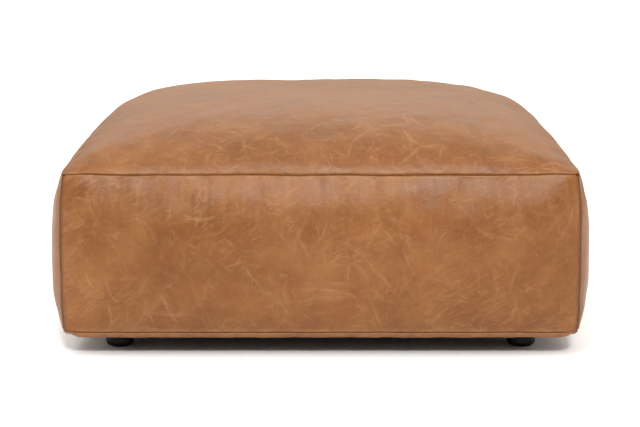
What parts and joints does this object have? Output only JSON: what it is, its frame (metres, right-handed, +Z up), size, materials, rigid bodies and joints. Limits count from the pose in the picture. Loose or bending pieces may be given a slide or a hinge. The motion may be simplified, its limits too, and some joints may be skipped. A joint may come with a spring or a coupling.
{
  "type": "square leather pouf",
  "caption": "Large square leather floor pouf: boxed cover with a crowned top over foam, on a webbed plywood base with small round feet.",
  "frame": {"origin": "on the floor under the middle of the pouf", "axes": "+Z up, -Y the front, +X to the right of someone facing the front"},
  "size_m": [0.976, 0.976, 0.4264],
  "materials": {
    "leather": "satin",
    "foam": "matte",
    "fibre": "matte",
    "felt": "matte",
    "webbing": "matte",
    "plywood": "matte",
    "dust_cloth": "matte",
    "foot_plastic": "satin",
    "zinc_steel": "satin"
  },
  "bodies": {
    "root": {"back_panel": "leather", "base_band_back": "leather", "base_band_front": "leather", "base_band_left": "leather", "base_band_right": "leather", "centre_stretcher": "plywood", "corner_post_back_left": "plywood", "corner_post_back_right": "plywood", "corner_post_front_left": "plywood", "corner_post_front_right": "plywood", "deck_felt": "felt", "dust_cover": "dust_cloth", "fibre_wrap": "fibre", "foam_pad_back": "foam", "foam_pad_front": "foam", "foam_pad_left": "foam", "foam_pad_right": "foam", "foot_back_left": "foot_plastic", "foot_back_right": "foot_plastic", "foot_block_back_left": "plywood", "foot_block_back_right": "plywood", "foot_block_front_left": "plywood", "foot_block_front_right": "plywood", "foot_front_left": "foot_plastic", "foot_front_right": "foot_plastic", "foot_stud_back_left": "zinc_steel", "foot_stud_back_right": "zinc_steel", "foot_stud_front_left": "zinc_steel", "foot_stud_front_right": "zinc_steel", "front_panel": "leather", "left_panel": "leather", "right_panel": "leather", "seat_foam": "foam", "side_board_back": "plywood", "side_board_front": "plywood", "side_board_left": "plywood", "side_board_right": "plywood", "t_nut_back_left": "zinc_steel", "t_nut_back_right": "zinc_steel", "t_nut_front_left": "zinc_steel", "t_nut_front_right": "zinc_steel", "top_panel": "leather", "webbing_across_1": "webbing", "webbing_across_2": "webbing", "webbing_across_3": "webbing", "webbing_across_4": "webbing", "webbing_along_1": "webbing", "webbing_along_2": "webbing", "webbing_along_3": "webbing", "webbing_along_4": "webbing"}
  },
  "joints": []
}
